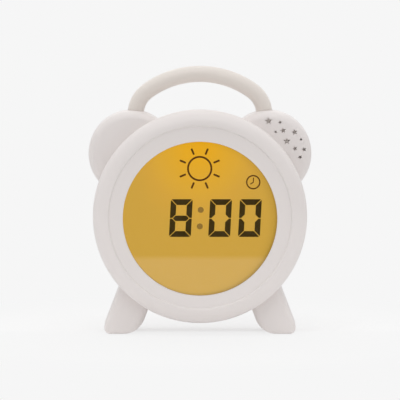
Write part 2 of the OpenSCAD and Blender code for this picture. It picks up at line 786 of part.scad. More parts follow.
// The front glass carries the contact ledge under the octagon; the rear glass stops short of it.
module lcd_panel() color([0.62, 0.48, 0.22]) stand() at_window() {
    slab(lcd_front_z - glass_t, lcd_front_z) {
        octagon(0);
        translate([-lcd_side + 0.5, -lcd_flat - lcd_ledge]) square([2 * lcd_side - 1, lcd_flat]);
    }
    slab(lcd_back_z, lcd_front_z - glass_t) octagon(0);
}

module light_guide() color([0.98, 0.80, 0.40]) stand() at_window()
    slab(guide_back_z, guide_front_z) octagon(-0.2);

module reflector_sheet() color([0.95, 0.95, 0.93]) stand() at_window()
    slab(reflector_front_z - reflector_t, reflector_front_z) octagon(-0.2);

// Plan of the carrier: an octagon with a pocket above for the LEDs and one below for the ledge.
module carrier_plan(grow) {
    octagon(fit + grow);
    square([2 * (lcd_side - 0.5 + fit + grow), 2 * (pocket_y + grow)], center = true);
}

module display_carrier() color([0.93, 0.93, 0.92]) stand() difference() {
    union() {
        at_window() slab(carrier_back_z, carrier_front_z) carrier_plan(carrier_wall);
        at_lugs() bar(boss_r, carrier_floor_z, lug_front_z);
        for (a = [45:90:315]) at_window() rotate(a)
            translate([carrier_flat - carrier_wall / 2, -lug_arm_w / 2, carrier_floor_z])
                cube([lug_pitch_r - carrier_flat + carrier_wall / 2, lug_arm_w, lug_t]);
        at_window() for (s = main_screws) translate([s[0], s[1], 0])
            bar(boss_r, main_front_z + rest, carrier_back_z + 1);
    }
    at_window() slab(carrier_floor_z, crest_z) carrier_plan(0);
    at_lugs() bar(pass_hole_r, carrier_back_z - 1, crest_z);
    at_window() slab(carrier_back_z - 1, crest_z) translate([0, zebra_y])
        square([2 * lcd_side - 2, zebra_h + 2 * fit], center = true);
    at_window() for (s = main_screws) translate([s[0], s[1], 0])
        bar(thread_hole_r, main_front_z - 1, carrier_floor_z - screw_hole_end);
}

module carrier_screws() color(steel_colour) stand() at_lugs()
    translate([0, 0, carrier_floor_z - rest]) screw(lug_screw_l);

led_size = [3.2, 1.4];
led_board_t = 1;
module backlight_board() color(board_colour) stand() at_window()
    slab(guide_back_z, guide_front_z + 1) translate([0, pocket_y - rest - led_board_t / 2])
        square([2 * lcd_side - 3, led_board_t], center = true);

module backlight_leds() color([1, 0.85, 0.4]) stand() at_window()
    for (i = [0:led_count - 1])
        translate([(i - (led_count - 1) / 2) * led_pitch,
            pocket_y - led_board_t - 2 * rest - led_size[1] / 2, 0])
            slab(guide_back_z + 0.4, guide_front_z - 0.4) square(led_size, center = true);

module zebra_strip() color([0.85, 0.35, 0.45]) stand() at_window()
    slab(main_front_z + rest, lcd_front_z - glass_t - rest) translate([0, zebra_y])
        square([2 * lcd_side - 3, zebra_h], center = true);

// ---------------------------------------------------------------- boards

module main_board() color(board_colour) stand() at_window() difference() {
    slab(main_back_z, main_front_z) polygon([
        [-main_half_w, main_top], [main_half_w, main_top], [main_half_w, -main_top],
        [main_tongue, -main_top - main_taper], [main_tongue, -main_bottom], [-main_tongue, -main_bottom],
        [-main_tongue, -main_top - main_taper], [-main_half_w, -main_top]
    ]);
    for (s = main_screws) translate([s[0], s[1], 0])
        bar(pass_hole_r, main_back_z - 1, main_front_z + 1);
}

module main_board_screws() color(steel_colour) stand() at_window()
    for (s = main_screws) translate([s[0], s[1], main_back_z - rest])
        screw(board_t + standoff_h + carrier_wall - 2 * screw_hole_end);

// Parts on the back of the main board: their places from the window's middle, and their sizes.
part_z = main_back_z - rest;
chip_at = [-14, 12];
chip_size = 10;
chip_h = 1.6;
pin_pitch = 1.27;
pin_l = 1.2;
capacitor_at = [[12, 13], [20, 13]];
capacitor_r = 3.1;
capacitor_h = 7;
crystal_at = [-14, -2];
crystal_size = [8, 3, 2];
header_at = [[20, main_top - 5], [0, -12]];
header_w = [5, 6];
header_h = 3;
header_t = 4;

module controller_chip() color([0.08, 0.08, 0.09]) stand() at_window()
    translate([chip_at[0], chip_at[1], 0]) {
        slab(part_z - chip_h, part_z) square(chip_size, center = true);
        for (side = [-1, 1], i = [-3:3]) translate([side * chip_size / 2, i * pin_pitch, 0])
            slab(part_z - chip_h / 2, part_z) square([2 * pin_l, pin_pitch / 2], center = true);
    }

module filter_capacitors() color([0.15, 0.2, 0.35]) stand() at_window()
    for (c = capacitor_at) translate([c[0], c[1], 0]) bar(capacitor_r, part_z - capacitor_h, part_z);

module clock_crystal() color(steel_colour) stand() at_window()
    translate([crystal_at[0], crystal_at[1], 0]) slab(part_z - crystal_size[2], part_z)
        racetrack(crystal_size[0], crystal_size[1]);

// Headers on the main board for the speaker, the battery and the ribbon, and one on the key board.
ribbon_w = 12;
ribbon_y = keyboard_y + 2;
main_header_y = window_y + main_top - header_t;
key_part_z = keyboard_front_z + rest;
module wire_headers() color([0.92, 0.90, 0.84]) stand() {
    at_window() for (i = [0, 1]) translate([header_at[i][0], header_at[i][1], 0])
        slab(part_z - header_h, part_z) square([header_w[i], header_t], center = true);
    translate([0, main_header_y, 0]) slab(part_z - header_h, part_z)
        square([ribbon_w + 2, header_t], center = true);
    translate([0, ribbon_y, 0]) slab(key_part_z, key_part_z + header_h)
        square([ribbon_w + 2, header_t], center = true);
}

module key_board() color(board_colour) stand() translate([0, keyboard_y, 0]) difference() {
    slab(keyboard_back_z, keyboard_front_z) rounded(keyboard_w, keyboard_h, 2);
    for (s = board_screws) translate([s[0], s[1], 0])
        bar(pass_hole_r, keyboard_back_z - 1, keyboard_front_z + 1);
}

module key_board_screws() color(steel_colour) stand() for (s = board_screws)
    translate([s[0], keyboard_y + s[1], keyboard_front_z + rest]) mirror([0, 0, 1])
        screw(board_t + rest + post_screw_l);

module tact_switches() color([0.15, 0.15, 0.16]) stand() at_keys() difference() {
    slab(tact_top_z, keyboard_back_z - rest) square(tact_w, center = true);
    bar(plunger_r + rest / 2, tact_top_z - 1, tact_top_z + plunger_in + button_travel + 0.4);
}

// A key: the cap that stands out of the back, its retaining flange and the stem to its switch.
module key(i) stand() translate([key_xs[i], body_y + key_ys[i], 0]) {
    slab(back_z - button_proud, key_rest_z + 0.5) racetrack(button_w, button_h);
    slab(key_rest_z, key_rest_z + key_flange_t)
        racetrack(button_w + 2 * key_flange, button_h + 2 * key_flange);
    bar(stem_r, key_rest_z, plunger_tip_z - rest);
}

module plunger(i) stand() translate([key_xs[i], body_y + key_ys[i], 0])
    bar(plunger_r, plunger_tip_z, tact_top_z + plunger_in);

module button_time() color(shell_colour) key(0);
module button_alarm() color(shell_colour) key(1);
module button_down() color(shell_colour) key(2);
module button_up() color(shell_colour) key(3);
module button_light() color([0.93, 0.70, 0.28]) key(4);
module button_melody() color(shell_colour) key(5);
module plunger_time() color([0.9, 0.9, 0.9]) plunger(0);
module plunger_alarm() color([0.9, 0.9, 0.9]) plunger(1);
module plunger_down() color([0.9, 0.9, 0.9]) plunger(2);
module plunger_up() color([0.9, 0.9, 0.9]) plunger(3);
module plunger_light() color([0.9, 0.9, 0.9]) plunger(4);
module plunger_melody() color([0.9, 0.9, 0.9]) plunger(5);

// The slide switch: a can on the key board with a slot, and a knob that runs in it.
slide_top_z = back_in_z + 2.4;
module alarm_switch_body() color(steel_colour) stand() translate([0, body_y + upper_row, 0])
    difference() {
        slab(slide_top_z, keyboard_back_z - rest)
            square([switch_can[0] + 2 * can_wall, switch_can[1] + 2 * can_wall], center = true);
        slab(slide_top_z + can_wall, keyboard_back_z - can_wall)
            square([switch_can[0], switch_can[1]], center = true);
        slab(slide_top_z - 1, slide_top_z + 1)
            square([knob_w + switch_travel + 2 * fit, knob_neck + 2 * fit], center = true);
    }

module alarm_switch_knob() color([0.2, 0.2, 0.21]) stand()
    translate([-switch_travel / 2, body_y + upper_row, 0]) {
        slab(back_z - 0.8 * button_proud, back_in_z + 0.4) square([knob_w, knob_h], center = true);
        slab(back_in_z, slide_top_z + 1) square([knob_w, knob_neck], center = true);
        slab(slide_top_z + can_wall + fit, keyboard_back_z - can_wall - fit)
            square([knob_w, switch_can[1] - 2 * fit], center = true);
    }

module usb_socket() color(steel_colour) stand() translate([usb_x, usb_y, 0]) difference() {
    slab(usb_tip_z, keyboard_back_z - rest) racetrack(usb_size[0], usb_size[1]);
    slab(usb_tip_z - 1, keyboard_back_z - usb_floor)
        racetrack(usb_size[0] - 2 * usb_shell_t, usb_size[1] - 2 * usb_shell_t);
}

module usb_tongue() color([0.1, 0.1, 0.1]) stand() translate([usb_x, usb_y, 0])
    slab(usb_tip_z + 0.7, keyboard_back_z - usb_floor - rest)
        square([usb_size[0] - 2.4, 0.7], center = true);

// ---------------------------------------------------------------- speaker and wires

module at_speaker() translate([speaker_c[0], speaker_c[1], 0]) rotate(speaker_turn) children();

module speaker_frame() color([0.12, 0.12, 0.13]) stand() at_speaker() difference() {
    slab(speaker_back_z, speaker_front_z) racetrack(speaker_l, speaker_w);
    slab(speaker_back_z + 1, speaker_front_z + 1)
        racetrack(speaker_l - 2 * frame_wall, speaker_w - 2 * frame_wall);
}

// The oblong diaphragm: a flat surround, a stepped cone and a domed cap.
module speaker_cone() color([0.22, 0.2, 0.19]) stand() at_speaker() {
    slab(speaker_front_z - 1.6, speaker_front_z - 1) difference() {
        racetrack(speaker_l - rim_in, speaker_w - rim_in);
        racetrack(speaker_l - cone_in - 0.4, speaker_w - cone_in - 0.4);
    }
    slab(speaker_front_z - 2.4, speaker_front_z - 1.4)
        racetrack(speaker_l - cone_in, speaker_w - cone_in);
    slab(speaker_back_z + 1 + rest, speaker_front_z - 2) difference() {
        circle(coil_r);
        circle(coil_r - 0.6);
    }
}

module speaker_magnet() color([0.35, 0.35, 0.36]) stand() at_speaker()
    bar(magnet_r, speaker_back_z - magnet_t, speaker_back_z - rest);

// A thin cloth under the domed face of the ear, behind the star-shaped holes.
module grille_cloth() color([0.45, 0.42, 0.40]) stand() difference() {
    translate([ear_x, ear_y, parting]) intersection() {
        difference() { ear_half(wall + rest); ear_half(wall + rest + cloth_t, -1); }
        translate([0, 0, ear_t / 4]) cylinder(r = ear_r, h = ear_t);
    }
    translate([0, body_y, 0]) bar(body_r + 0.3, 0, crest_z);
}

// A smooth wire through hand-picked points: a round tube swept along a Catmull-Rom curve.
function spline(p, t) = let (n = len(p) - 1, i = min(floor(t), n - 1), u = t - i,
    a = p[max(i - 1, 0)], b = p[i], c = p[i + 1], d = p[min(i + 2, n)])
    0.5 * (2 * b + (c - a) * u + (2 * a - 5 * b + 4 * c - d) * u * u
        + (3 * b - a - 3 * c + d) * u * u * u);
function unit(v) = v / norm(v);
module tube(path, r, sides = 8) {
    n = len(path);
    rings = [for (i = [0:n - 1])
        let (along = unit(path[min(i + 1, n - 1)] - path[max(i - 1, 0)]),
            across = unit(cross(along, abs(along[1]) < 0.9 ? [0, 1, 0] : [1, 0, 0])),
            over = cross(along, across))
        for (k = [0:sides - 1])
            path[i] + r * (across * cos(360 * k / sides) + over * sin(360 * k / sides))];
    polyhedron(rings, concat(
        [[for (k = [0:sides - 1]) k]],
        [for (i = [0:n - 2], k = [0:sides - 1]) let (m = (k + 1) % sides)
            [i * sides + k, (i + 1) * sides + k, (i + 1) * sides + m, i * sides + m]],
        [[for (k = [sides - 1:-1:0]) (n - 1) * sides + k]]
    ));
}
module wire(p, r = 0.7) tube([for (i = [0:4 * (len(p) - 1)]) spline(p, i / 4)], r);

wire_tap_z = part_z - header_h - rest;
wire_gap = 1.9;
wire_drop = 13;
function by_speaker(x, y, z) =
    concat(speaker_c + x * [ear_out[1], -ear_out[0]] + y * ear_out, [z]);
module speaker_wires() stand() for (k = [0, 1]) color(k == 0 ? [0.75, 0.1, 0.1] : [0.1, 0.1, 0.1])
    wire([
        by_speaker(7.4 + wire_gap * k, -2.5, speaker_back_z - 1.2),
        by_speaker(7.4 + wire_gap * k, -6, speaker_back_z - 1.2),
        by_speaker(7.4 + wire_gap * k, -11, speaker_back_z - 0.5),
        [ear_x - 3.2 + 0.6 * k, ear_y - wire_drop - wire_gap * k, parting + 1.5],
        [header_at[0][0], window_y + header_at[0][1] + wire_gap * (0.5 - k), wire_tap_z - 4.3],
        [header_at[0][0], window_y + header_at[0][1] + wire_gap * (0.5 - k), wire_tap_z]
    ]);

terminal_z = bay_back_z + 2;
module battery_wires() stand() for (k = [0, 1]) {
    side = k == 0 ? 1 : -1;
    y = tail_y(side);
    tap_y = window_y + header_at[1][1];
    color(k == 0 ? [0.75, 0.1, 0.1] : [0.1, 0.1, 0.1]) wire([
        [side * (plate_x + plate_t / 2), y, terminal_z + rest],
        [side * (plate_x - 0.5), y, terminal_z + 2.5],
        [side * plate_x * 0.64, (y + tap_y) / 2, terminal_z + 5],
        [side * 5, tap_y, wire_tap_z - 5],
        [side * 1.5, tap_y, wire_tap_z - 2],
        [side * 1.5, tap_y, wire_tap_z]
    ]);
}

// Flat cable between the two boards: an S-bend drawn from the side, as wide as the ribbon.
ribbon_t = 0.7;
ribbon_from = key_part_z + header_h + rest;
ribbon_to = part_z - header_h - rest;
function ribbon_y_at(u) = ribbon_y + (main_header_y - ribbon_y) * (1 - cos(180 * u)) / 2;
module ribbon_cable() color([0.75, 0.75, 0.78]) stand()
    translate([-ribbon_w / 2, 0, 0]) rotate([90, 0, 90]) slab(0, ribbon_w) polygon(concat(
        [for (i = [0:12]) [ribbon_y_at(i / 12) - ribbon_t / 2,
            ribbon_from + (ribbon_to - ribbon_from) * i / 12]],
        [for (i = [12:-1:0]) [ribbon_y_at(i / 12) + ribbon_t / 2,
            ribbon_from + (ribbon_to - ribbon_from) * i / 12]]
    ));

// ---------------------------------------------------------------- battery side

// The door turns about the middle of its rounded top edge, and its tabs hook in above it.
module battery_door() color(shell_colour) stand() difference() {
    union() {
        translate([-door_half_w, 0, 0]) rotate([90, 0, 90]) slab(0, 2 * door_half_w) {
            translate([door_bottom_y, back_z]) square([hinge_y - door_bottom_y, door_t]);
            translate([hinge_y, hinge_z]) circle(hinge_r);
        }
        for (side = [-1, 1]) translate([side * tab_x - tab_w / 2, hinge_y - tab_root, 0]) {
            translate([0, 0, door_in_z - 1]) cube([tab_w, 2, tab_z + tab_t - door_in_z + 1]);
            translate([0, 0, tab_z]) cube([tab_w, tab_root + hinge_r + tab_reach, tab_t]);
        }
        for (y = cell_ys) translate([-cell_l / 3, y - rib_t / 2, door_in_z - 1])
            cube([2 * cell_l / 3, rib_t, cell_rib + 1]);
    }
    translate([0, door_screw_y, 0]) {
        bar(head_r + fit, back_z - 1, door_head_z + door_head_h + rest);
        bar(door_screw_r + 0.2, back_z, door_in_z + 1);
    }
    for (i = [-1:1]) translate([-grip_w / 2, door_screw_y + grip_up + grip_pitch * i, back_z - 1])
        cube([grip_w, grip_pitch / 2, 1.4]);
}

module door_screw() color(steel_colour) stand() translate([0, door_screw_y, door_head_z]) {
    difference() {
        cylinder(r = head_r, h = door_head_h);
        slab(-1, door_head_h / 2) square([cross_l, cross_w], center = true);
        slab(-1, door_head_h / 2) square([cross_w, cross_l], center = true);
    }
    cylinder(r = door_screw_r, h = door_in_z - door_head_z + door_screw_l);
}

// Cells lie across the bay, turned end for end so that the plates join them in series.
module aa_cells() color([0.20, 0.35, 0.55]) stand() for (i = [0:cell_count - 1]) {
    way = i % 2 == 0 ? 1 : -1;
    translate([way * (plate_x - rest), cell_ys[i], cell_z]) rotate([0, -90 * way, 0]) {
        cylinder(d = 5.2, h = 1.6);
        translate([0, 0, 1.2]) cylinder(d = cell_d, h = cell_l - 1.2);
    }
}

// Contact plates: single ones at the two ends of the row, long ones that join two cells.
module plate(side, y, h, tail) translate([side > 0 ? plate_x : -plate_x - plate_t, 0, 0]) {
    translate([0, y - h / 2, cell_z - plate_w / 2]) cube([plate_t, h, plate_w]);
    if (tail) translate([0, y - tail_w / 2 + 0.5, cell_z])
        cube([plate_t, tail_w - 1, terminal_z - cell_z]);
}
module contact_plates() color(steel_colour) stand() {
    plate(1, cell_ys[0], plate_w, true);
    plate(-1, (cell_ys[0] + cell_ys[1]) / 2, cell_pitch + plate_w, false);
    plate(1, (cell_ys[1] + cell_ys[2]) / 2, cell_pitch + plate_w, false);
    plate(-1, cell_ys[2], plate_w, true);
}

// Conical springs at the cells' flat ends.
spring_wire_r = 0.4;
spring_turns = 4;
spring_r = 4.6;
spring_taper = 1.8;
spring_end = spring_wire_r + 0.1;
spring_gap = 2 * plate_x - rest - cell_l;
module contact_springs() color(steel_colour) stand() for (i = [0:cell_count - 1]) {
    way = i % 2 == 0 ? -1 : 1;
    translate([way * plate_x, cell_ys[i], cell_z]) rotate([0, -90 * way, 0])
        tube([for (k = [0:12 * spring_turns])
            let (u = k / (12 * spring_turns), r = spring_r - spring_taper * u)
            [r * cos(30 * k), r * sin(30 * k), spring_end + (spring_gap - 2 * spring_end) * u]],
            spring_wire_r, 6);
}

front_shell();
rear_shell();
carry_handle();
rubber_feet();
case_screws();
display_lens();
lens_gasket();
lcd_panel();
light_guide();
reflector_sheet();
display_carrier();
carrier_screws();
backlight_board();
backlight_leds();
zebra_strip();
main_board();
main_board_screws();
controller_chip();
filter_capacitors();
clock_crystal();
wire_headers();
key_board();
key_board_screws();
tact_switches();
button_time();
button_alarm();
button_down();
button_up();
button_light();
button_melody();
plunger_time();
plunger_alarm();
plunger_down();
plunger_up();
plunger_light();
plunger_melody();
alarm_switch_body();
alarm_switch_knob();
usb_socket();
usb_tongue();
speaker_frame();
speaker_cone();
speaker_magnet();
grille_cloth();
speaker_wires();
battery_wires();
ribbon_cable();
battery_door();
door_screw();
aa_cells();
contact_plates();
contact_springs();
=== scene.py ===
import math

import bmesh
import bpy
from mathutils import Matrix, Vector


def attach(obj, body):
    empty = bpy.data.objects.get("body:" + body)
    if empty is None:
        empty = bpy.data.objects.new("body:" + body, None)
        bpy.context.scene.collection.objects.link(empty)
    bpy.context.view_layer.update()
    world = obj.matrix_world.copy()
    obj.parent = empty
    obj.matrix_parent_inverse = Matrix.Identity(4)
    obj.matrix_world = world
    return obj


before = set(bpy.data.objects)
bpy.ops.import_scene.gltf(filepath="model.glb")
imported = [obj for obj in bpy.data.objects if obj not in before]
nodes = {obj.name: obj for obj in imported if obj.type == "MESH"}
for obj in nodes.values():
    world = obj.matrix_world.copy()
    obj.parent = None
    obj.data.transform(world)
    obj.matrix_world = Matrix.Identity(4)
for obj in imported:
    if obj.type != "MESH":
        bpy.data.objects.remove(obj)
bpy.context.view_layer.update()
scene = bpy.context.scene

MM = 0.001
WINDOW_Y = 75.1  # height of the window's middle above the table, mm
WINDOW_R = 49.0  # the window's radius, mm


def place(x, y, z):
    """Front view millimetres (right, up, towards the viewer) to the row frame in metres."""
    return Vector((x * MM, -z * MM, y * MM))


def towards(degrees):
    """A step of length one in the front view, turned from the right."""
    return Vector((math.cos(math.radians(degrees)), math.sin(math.radians(degrees))))


# ---------------------------------------------------------------- camera

ELEVATION = math.radians(5)
DISTANCE = 4.0
AIM = Vector((0.0, 0.0, 0.08454))
HALF_WIDTH = 0.12691  # half of what the picture shows across, at the depth of the rim's bead
BEAD_FRONT = 0.0215  # how far the bead's widest part lies in front of the part's middle
SENSOR = 36  # mm

cam_data = bpy.data.cameras.new("camera")
cam_data.sensor_width = SENSOR
cam_data.lens = SENSOR / 2 / (HALF_WIDTH / (DISTANCE - BEAD_FRONT))
cam_data.clip_end = 50
camera = bpy.data.objects.new("camera", cam_data)
scene.collection.objects.link(camera)
camera.location = AIM + DISTANCE * Vector((0, -math.cos(ELEVATION), math.sin(ELEVATION)))
camera.rotation_euler = (math.pi / 2 - ELEVATION, 0, 0)
scene.camera = camera


# ---------------------------------------------------------------- tools for shader nodes

def new_tree(name):
    """A new material and its node tree, still empty."""
    material = bpy.data.materials.new(name)
    material.use_nodes = True
    material.node_tree.nodes.clear()
    return material, material.node_tree


def add(tree, kind, inputs=(), **settings):
    """A new node. Each input, by name or number, takes a value or another node's socket."""
    node = tree.nodes.new("ShaderNode" + kind)
    for key, value in settings.items():
        setattr(node, key, value)
    for key, value in dict(inputs).items():
        if isinstance(value, bpy.types.NodeSocket):
            tree.links.new(value, node.inputs[key])
        else:
            node.inputs[key].default_value = value
    return node


def principled(tree, **inputs):
    """The material's one shader, joined to its output."""
    named = {key.replace("_", " "): value for key, value in inputs.items()}
    shader = add(tree, "BsdfPrincipled", named)
    add(tree, "OutputMaterial", {0: shader.outputs[0]})
    return shader


def position(tree):
    """Where a point lies on the part, in metres in the row frame."""
    return add(tree, "TexCoord").outputs["Object"]


def noise(tree, at, scale, detail, roughness=0.5):
    """A cloudy share from 0 to 1."""
    values = {"Vector": at, "Scale": scale, "Detail": detail, "Roughness": roughness}
    return add(tree, "TexNoise", values).outputs["Fac"]


def blend(tree, share, start, end):
    """From one colour to another; a colour is three numbers or a socket."""
    pair = [c if isinstance(c, bpy.types.NodeSocket) else (*c, 1) for c in (start, end)]
    values = {"Factor": share, "A": pair[0], "B": pair[1]}
    return add(tree, "Mix", values, data_type="RGBA").outputs["Result"]


def span(tree, value, start, end, low=0.0, high=1.0, kind="LINEAR"):
    """Low up to start, high from end on, and evenly or smoothly between."""
    values = {"Value": value, "From Min": start, "From Max": end, "To Min": low, "To Max": high}
    return add(tree, "MapRange", values, interpolation_type=kind).outputs[0]


def calculate(tree, operation, *values):
    """Arithmetic on numbers and sockets."""
    return add(tree, "Math", enumerate(values), operation=operation).outputs[0]


def vectors(tree, operation, *values):
    """Arithmetic on vectors; a length or a distance comes out as a number."""
    node = add(tree, "VectorMath", enumerate(values), operation=operation)
    return node.outputs["Value" if operation in ("LENGTH", "DISTANCE") else "Vector"]


def scaled(tree, vector, factor):
    """A vector or colour, times a number."""
    return add(tree, "VectorMath", {0: vector, "Scale": factor}, operation="SCALE").outputs[0]


def ramp(tree, share, stops):
    """Colour by the share, from stops of a place and a colour."""
    node = add(tree, "ValToRGB", {"Fac": share})
    elements = node.color_ramp.elements
    while len(elements) < len(stops):
        elements.new(0.5)
    for element, (at, colour) in zip(elements, stops):
        element.position = at
        element.color = (*colour, 1)
    return node.outputs["Color"]


def bumps(tree, height, strength, distance):
    """A surface that is uneven by the height."""
    values = {"Height": height, "Strength": strength, "Distance": distance}
    return add(tree, "Bump", values).outputs[0]


def either(tree, share, first, second):
    """One shader, and the other as the share goes to one."""
    return add(tree, "MixShader", {"Fac": share, 1: first, 2: second}).outputs[0]


# ---------------------------------------------------------------- materials

PLASTIC_IOR = 1.45


def surface(name, dark, light, rough=(0.3, 0.4), scale=40.0, bump=0.05, bump_scale=900.0,
            distance=0.0002, metallic=0.0, coat=0.0, sheen=0.0, stretch=(1, 1, 1)):
    """A moulded or machined surface: a slow drift of colour and gloss with a fine bump."""
    material, tree = new_tree(name)
    at = add(tree, "Mapping", {"Vector": position(tree), "Scale": stretch}).outputs[0]
    drift = noise(tree, at, scale, 4.0, 0.55)
    grain = noise(tree, at, bump_scale, 3.0, 0.6)
    principled(tree, Base_Color=blend(tree, drift, dark, light),
               Roughness=span(tree, drift, 0.3, 0.7, *rough), Normal=bumps(tree, grain, bump, distance),
               Metallic=metallic, IOR=PLASTIC_IOR, Coat_Weight=coat, Sheen_Weight=sheen)
    return material


def board_material():
    """Green solder mask with faint copper tracks below it."""
    material, tree = new_tree("board_green")
    upright = add(tree, "Mapping", {"Vector": position(tree), "Rotation": (math.pi / 2, 0, 0)})
    tracks = add(tree, "TexBrick", {
        "Vector": upright.outputs[0], "Scale": 260.0, "Mortar Size": 0.03,
        "Color1": (0.02, 0.13, 0.055, 1), "Color2": (0.03, 0.18, 0.075, 1),
        "Mortar": (0.012, 0.08, 0.035, 1)})
    principled(tree, Base_Color=tracks.outputs["Color"], Roughness=0.32,
               Normal=bumps(tree, tracks.outputs["Fac"], 0.2, 0.0001))
    return material


def cloth_material():
    """A fine woven grille cloth."""
    material, tree = new_tree("grille_cloth")
    at = position(tree)
    threads = [add(tree, "TexWave", {"Vector": at, "Scale": 900.0}, wave_type="BANDS",
                   bands_direction=way).outputs["Fac"] for way in ("X", "Z")]
    weave = calculate(tree, "MULTIPLY", *threads)
    principled(tree, Base_Color=blend(tree, weave, (0.86, 0.81, 0.77), (0.95, 0.90, 0.86)),
               Roughness=0.85, Sheen_Weight=0.2, Normal=bumps(tree, weave, 0.5, 0.0001))
    return material


# The three cells, in mm: height of the middle one's axis, distance between the axes, how far each
# cell lies off the clock's middle towards its plus end, where its pale band starts on that side,
# and half the length of its sleeve.
CELL_Y, CELL_PITCH, CELL_OFF = 63.0, 15.2, 2.4
BAND_FROM, SLEEVE_HALF = 12.5, 24.3


def cell_material():
    """Cells in a blue sleeve with a pale band at the plus end, and bare steel at both faces."""
    material = surface("cell_sleeve", (0.035, 0.085, 0.20), (0.06, 0.12, 0.26), rough=(0.22, 0.32),
                       scale=80, coat=0.4)
    tree = material.node_tree
    shader = next(n for n in tree.nodes if n.type == "BSDF_PRINCIPLED")
    tone = shader.inputs["Base Color"].links[0].from_socket
    at = add(tree, "SeparateXYZ", {0: position(tree)})
    in_middle = calculate(tree, "COMPARE", at.outputs["Z"], CELL_Y * MM, 0.5 * CELL_PITCH * MM)
    way = calculate(tree, "SUBTRACT", 1.0, calculate(tree, "MULTIPLY", in_middle, 2.0))
    along = calculate(tree, "MULTIPLY", at.outputs["X"], way)
    band = calculate(tree, "GREATER_THAN", along, BAND_FROM * MM)
    off_middle = calculate(tree, "ABSOLUTE", calculate(tree, "SUBTRACT", along, CELL_OFF * MM))
    ends = calculate(tree, "GREATER_THAN", off_middle, SLEEVE_HALF * MM)
    tone = blend(tree, band, tone, (0.55, 0.52, 0.46))
    tone = blend(tree, ends, tone, (0.50, 0.50, 0.49))
    tree.links.new(tone, shader.inputs["Base Color"])
    return material


def lens_material():
    """Clear, polished plastic with the slightest haze."""
    material, tree = new_tree("lens_clear")
    haze = noise(tree, position(tree), 30.0, 2.0)
    principled(tree, Base_Color=blend(tree, haze, (0.985, 0.98, 0.965), (1.0, 0.995, 0.985)),
               Roughness=span(tree, haze, 0.0, 1.0, 0.0, 0.002), IOR=1.49, Transmission_Weight=1.0)
    return material


# The backlight's brightest spot, how its glow is stretched, and its colours from there down, each
# at ten times the distance in metres.
GLOW_SPOT = place(-1.0, WINDOW_Y + WINDOW_R, 24.1)
GLOW_STRETCH = (1.2, 0, 1)
PER_METRE = 10.0
GLOW_STOPS = [
    (0.00, (0.790, 0.380, 0.008)), (0.12, (0.760, 0.385, 0.017)), (0.22, (0.715, 0.380, 0.027)),
    (0.32, (0.685, 0.378, 0.038)), (0.42, (0.637, 0.356, 0.047)), (0.56, (0.590, 0.346, 0.051)),
    (0.98, (0.564, 0.342, 0.054)),
]
# The glow is darker over the last millimetres before the rim, most of all at the right. A thin line at
# its very edge, most of all at the lower right, is painted shade of the window's edge. Each fall has
# the middle that distances are taken from, where it starts and ends, in mm, and what is left of the
# light.
RIM_DARKENING_AND_PAINTED_SHADE = [((-3.4, WINDOW_Y), 45.0, 55.0, 0.82), ((-1.1, WINDOW_Y + 0.9), 47.8, 50.6, 0.72)]


def glow_material():
    """The backlit display: brightest under the LEDs at its top, evening out further down, darker
    towards its rim, with painted shade in a thin line at its edge.
    """
    material, tree = new_tree("display_glow")
    at = position(tree)
    away = vectors(tree, "MULTIPLY", vectors(tree, "SUBTRACT", at, GLOW_SPOT), GLOW_STRETCH)
    share = calculate(tree, "MULTIPLY", vectors(tree, "LENGTH", away), PER_METRE)
    glow = ramp(tree, share, GLOW_STOPS)
    flat = vectors(tree, "MULTIPLY", at, (1, 0, 1))
    # darker towards the rim, and a painted shade line at the window's edge
    for (x, y), start, end, least in RIM_DARKENING_AND_PAINTED_SHADE:
        inward = vectors(tree, "DISTANCE", flat, (x * MM, 0, y * MM))
        glow = scaled(tree, glow, span(tree, inward, start * MM, end * MM, 1.0, least, "SMOOTHSTEP"))
    principled(tree, Base_Color=(0.05, 0.03, 0.01, 1), Roughness=0.35, Specular_IOR_Level=0.15,
               Emission_Color=glow, Emission_Strength=1.08)
    return material


def ink(name, dark, light):
    """A switched-on LCD segment: nearly opaque, with a little of the backlight coming through."""
    material, tree = new_tree(name)
    drift = noise(tree, position(tree), 70.0, 2.0)
    principled(tree, Base_Color=(0.012, 0.009, 0.006, 1), Roughness=0.5, Specular_IOR_Level=0.15,
               Emission_Color=blend(tree, drift, dark, light), Emission_Strength=1.0)
    return material


SHELL = surface("shell_white", (0.80, 0.748, 0.730), (0.84, 0.790, 0.772), rough=(0.30, 0.36),
                scale=14, bump=0.03, bump_scale=2500, distance=0.00005)
HANDLE = surface("handle_cream", (0.79, 0.725, 0.67), (0.83, 0.765, 0.71), rough=(0.34, 0.42),
                 scale=18, bump=0.04, bump_scale=2500, distance=0.00005, sheen=0.6)
KEYS = surface("key_grey", (0.58, 0.55, 0.53), (0.64, 0.61, 0.59), rough=(0.42, 0.52), scale=60)
KEY_AMBER = surface("key_amber", (0.72, 0.36, 0.05), (0.78, 0.42, 0.08), rough=(0.4, 0.5), scale=60)
RUBBER = surface("pad_rubber", (0.055, 0.055, 0.06), (0.09, 0.09, 0.095), rough=(0.75, 0.9),
                 scale=300, bump=0.3, bump_scale=3000)
STEEL = surface("screw_steel", (0.50, 0.50, 0.49), (0.66, 0.66, 0.64), rough=(0.24, 0.4),
                scale=250, bump=0.08, bump_scale=2500, metallic=1.0)
FOAM = surface("black_foam", (0.03, 0.03, 0.032), (0.055, 0.055, 0.058), rough=(0.8, 0.95),
               scale=900, bump=0.5, bump_scale=4000)
WHITE_SHEET = surface("white_sheet", (0.84, 0.84, 0.82), (0.9, 0.9, 0.88), rough=(0.55, 0.7), scale=90)
INNER = surface("inner_plastic", (0.70, 0.70, 0.67), (0.78, 0.78, 0.75), rough=(0.45, 0.6), scale=50)
BLACK = surface("black_plastic", (0.018, 0.018, 0.02), (0.035, 0.035, 0.038), rough=(0.35, 0.5),
                scale=150)
CONE = surface("cone_paper", (0.03, 0.027, 0.025), (0.055, 0.05, 0.047), rough=(0.7, 0.9),
               scale=700, bump=0.4, bump_scale=3500)
